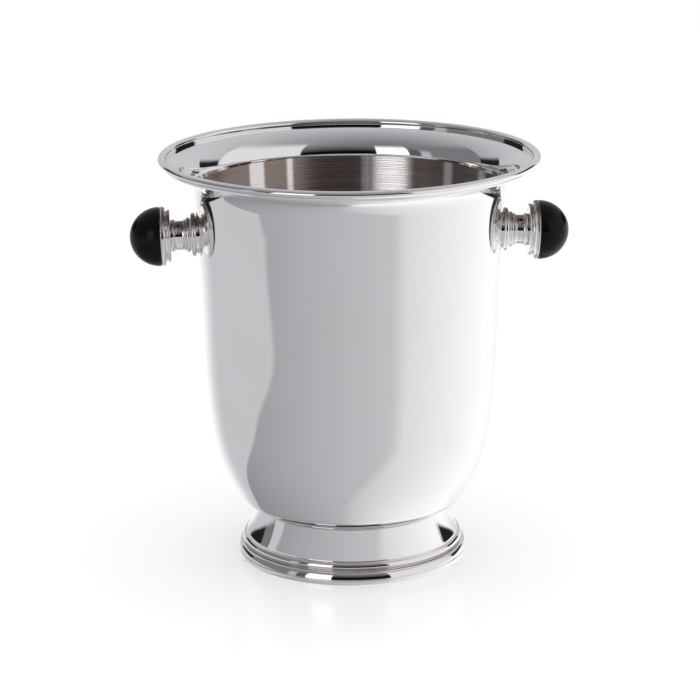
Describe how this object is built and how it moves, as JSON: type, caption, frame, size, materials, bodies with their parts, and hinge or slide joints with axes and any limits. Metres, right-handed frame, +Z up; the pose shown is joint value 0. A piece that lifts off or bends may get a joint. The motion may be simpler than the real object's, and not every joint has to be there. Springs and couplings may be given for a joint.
{
  "type": "champagne bucket",
  "caption": "Silver-plated champagne bucket: egg-shaped spun body with flared lip, moulded foot and black knob handles, for chilling a bottle in ice.",
  "frame": {"origin": "middle of the underside of the foot, on the surface that the bucket stands on", "axes": "+Z up along the body's axis, +X through the right knob, -X through the left knob"},
  "size_m": [0.243, 0.21, 0.2285],
  "materials": {
    "silver_plate": "mirror-polished silver plate over spun brass, fine satin inside",
    "black_resin": "polished black moulded resin",
    "brass": "machined brass",
    "plated_steel": "zinc-plated steel"
  },
  "bodies": {
    "root": {"bucket_shell": "silver_plate", "rim_bead": "silver_plate", "neck_collar": "silver_plate", "foot": "silver_plate", "foot_base_ring": "silver_plate", "handle_boss_left": "silver_plate", "handle_boss_right": "silver_plate", "handle_stem_left": "silver_plate", "handle_stem_right": "silver_plate", "handle_ferrule_left": "silver_plate", "handle_ferrule_right": "silver_plate", "handle_trim_washer_left": "silver_plate", "handle_trim_washer_right": "silver_plate", "handle_knob_left": "black_resin", "handle_knob_right": "black_resin", "knob_insert_left": "brass", "knob_insert_right": "brass", "handle_stud_left": "plated_steel", "handle_stud_right": "plated_steel"}
  },
  "joints": []
}
